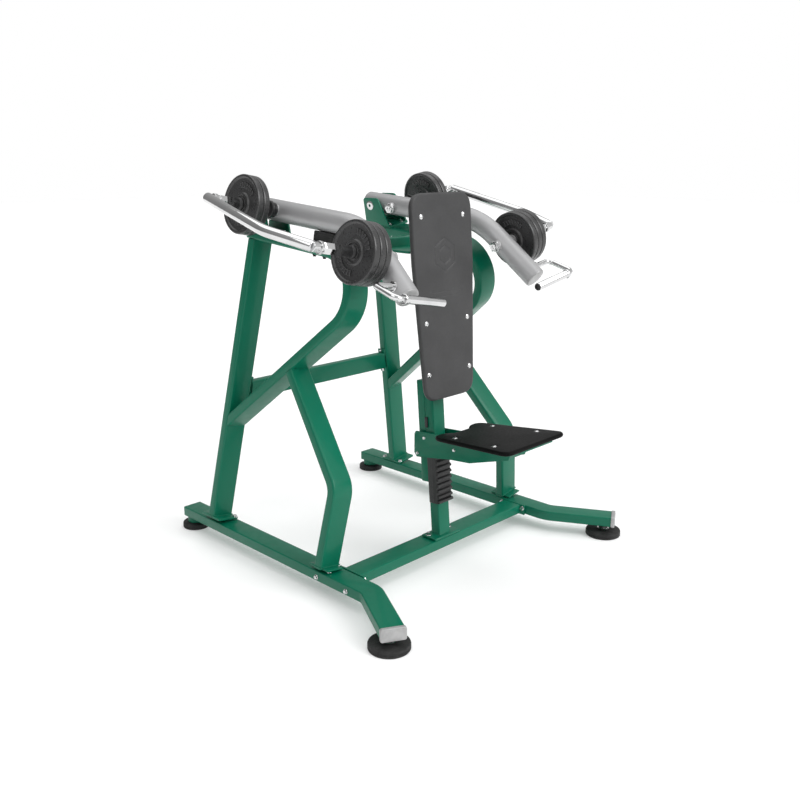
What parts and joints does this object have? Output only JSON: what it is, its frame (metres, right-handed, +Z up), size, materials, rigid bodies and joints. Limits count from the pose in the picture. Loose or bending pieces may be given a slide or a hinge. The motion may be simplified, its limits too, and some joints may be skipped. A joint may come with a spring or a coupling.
{
  "type": "shoulder press machine",
  "caption": "Plate-loaded shoulder press machine with a welded green frame, two swinging press arms with chrome weight horns, and a height-adjustable seat with a tall back pad",
  "frame": {"origin": "On the floor, under the centre of the machine's box in X and Y.", "axes": "+X toward the side named right, +Y from the seat toward the rear (the user sits facing -Y), +Z up."},
  "size_m": [1.442, 1.4857, 1.5068],
  "materials": {
    "green_paint": "gloss",
    "silver_paint": "satin",
    "silver_cap": "satin",
    "chrome": "polished",
    "plate_iron": "satin",
    "black_plastic": "matte",
    "black_rubber": "matte",
    "back_vinyl": "satin",
    "seat_vinyl": "gloss"
  },
  "bodies": {
    "frame": {"left_base_rail": "green_paint", "left_rail_end_cap": "silver_cap", "left_front_foot": "black_rubber", "left_rear_foot": "black_rubber", "left_rear_post": "green_paint", "left_hoop_tube": "green_paint", "left_front_leg": "green_paint", "left_pivot_bracket": "green_paint", "left_pivot_shaft": "chrome", "left_rest_bumper": "black_rubber", "right_base_rail": "green_paint", "right_rail_end_cap": "silver_cap", "right_front_foot": "black_rubber", "right_rear_foot": "black_rubber", "right_rear_post": "green_paint", "right_hoop_tube": "green_paint", "right_front_leg": "green_paint", "right_pivot_bracket": "green_paint", "right_pivot_shaft": "chrome", "right_rest_bumper": "black_rubber", "front_crossbeam": "green_paint", "rear_crossbeam": "green_paint", "upper_crossbeam": "green_paint", "seat_post": "green_paint", "seat_guide": "green_paint", "height_rack": "black_plastic", "lower_pad_bracket": "green_paint", "upper_pad_bracket": "green_paint", "backrest_pad": "back_vinyl"},
    "left_arm": {"left_arm_tube": "silver_paint", "left_arm_end_cap": "silver_cap", "left_rear_horn": "chrome", "left_front_horn": "chrome", "left_rear_plate_1": "plate_iron", "left_rear_plate_2": "plate_iron", "left_front_plate_1": "plate_iron", "left_front_plate_2": "plate_iron", "left_front_plate_3": "plate_iron", "left_rear_hub": "black_plastic", "left_front_hub": "black_plastic", "left_guard_bar": "chrome", "left_handle_rod": "chrome"},
    "right_arm": {"right_arm_tube": "silver_paint", "right_arm_end_cap": "silver_cap", "right_rear_horn": "chrome", "right_front_horn": "chrome", "right_rear_plate_1": "plate_iron", "right_rear_plate_2": "plate_iron", "right_front_plate_1": "plate_iron", "right_front_plate_2": "plate_iron", "right_front_plate_3": "plate_iron", "right_rear_hub": "black_plastic", "right_front_hub": "black_plastic", "right_guard_bar": "chrome", "right_handle_rod": "chrome"},
    "left_grip": {"left_handle_grip": "chrome"},
    "right_grip": {"right_handle_grip": "chrome"},
    "seat": {"seat_pad": "seat_vinyl", "seat_carriage": "green_paint", "ratchet_pin": "chrome"}
  },
  "joints": [
    {"name": "left_arm_hinge", "type": "hinge", "parent": "frame", "child": "left_arm", "pos_m": [-0.31143, 0.383, 1.37227], "axis": [-0.9848, 0, 0.1736], "range_deg": [0, 50]},
    {"name": "right_arm_hinge", "type": "hinge", "parent": "frame", "child": "right_arm", "pos_m": [0.31143, 0.383, 1.37227], "axis": [-0.9848, 0, -0.1736], "range_deg": [0, 50]},
    {"name": "left_grip_spin", "type": "hinge", "parent": "left_arm", "child": "left_grip", "pos_m": [-0.37784, -0.519, 1.11082], "axis": [-0.9848, 0, 0.1736], "continuous": true},
    {"name": "right_grip_spin", "type": "hinge", "parent": "right_arm", "child": "right_grip", "pos_m": [0.37784, -0.519, 1.11082], "axis": [0.9848, 0, 0.1736], "continuous": true},
    {"name": "seat_height", "type": "slide", "parent": "frame", "child": "seat", "axis": [0, 0.0813, 0.9967], "range_m": [-0.12, 0.06]}
  ]
}
